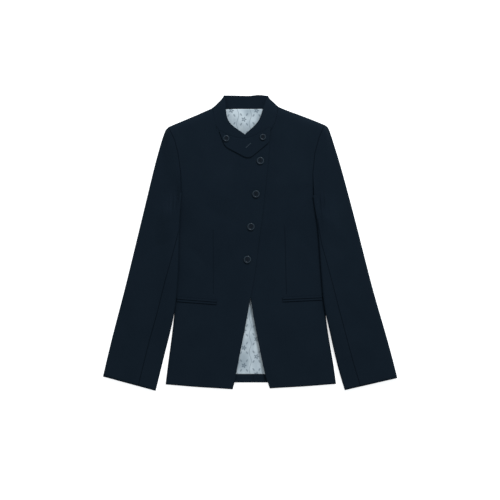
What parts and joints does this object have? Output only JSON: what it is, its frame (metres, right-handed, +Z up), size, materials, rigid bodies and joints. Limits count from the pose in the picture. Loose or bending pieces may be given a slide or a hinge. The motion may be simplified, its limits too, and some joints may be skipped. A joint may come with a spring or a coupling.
{
  "type": "blazer",
  "caption": "Laid-flat tailored blazer with a stand collar, buttoned throat tab, slanting front closure, welt pockets and cutaway hem",
  "frame": {"origin": "on the surface the blazer lies on, under the middle of its outline", "axes": "+Z up out of the front, +Y from hem to collar, +X to the viewer's right, which is the wearer's left"},
  "size_m": [0.7034, 0.7044, 0.0277],
  "materials": {
    "wool": "fine matt navy wool crepe",
    "satin": "pale silver-blue jacquard satin lining",
    "button": "glossy dark navy resin with a raised rim"
  },
  "bodies": {
    "root": {"front_right": "wool", "front_left": "wool", "side_right": "wool", "side_left": "wool", "back_right": "wool", "back_left": "wool", "hem_band_right": "wool", "hem_band_left": "wool", "collar_right": "wool", "collar_left": "wool", "collar_back": "wool", "throat_tab": "wool", "sleeve_top_right": "wool", "sleeve_under_right": "wool", "sleeve_top_left": "wool", "sleeve_under_left": "wool", "pocket_right_welt_upper": "wool", "pocket_right_welt_lower": "wool", "pocket_left_welt_upper": "wool", "pocket_left_welt_lower": "wool", "lining": "satin", "button_front_1": "button", "button_front_2": "button", "button_front_3": "button", "button_front_4": "button", "button_tab_right": "button", "button_tab_left": "button"}
  },
  "joints": []
}
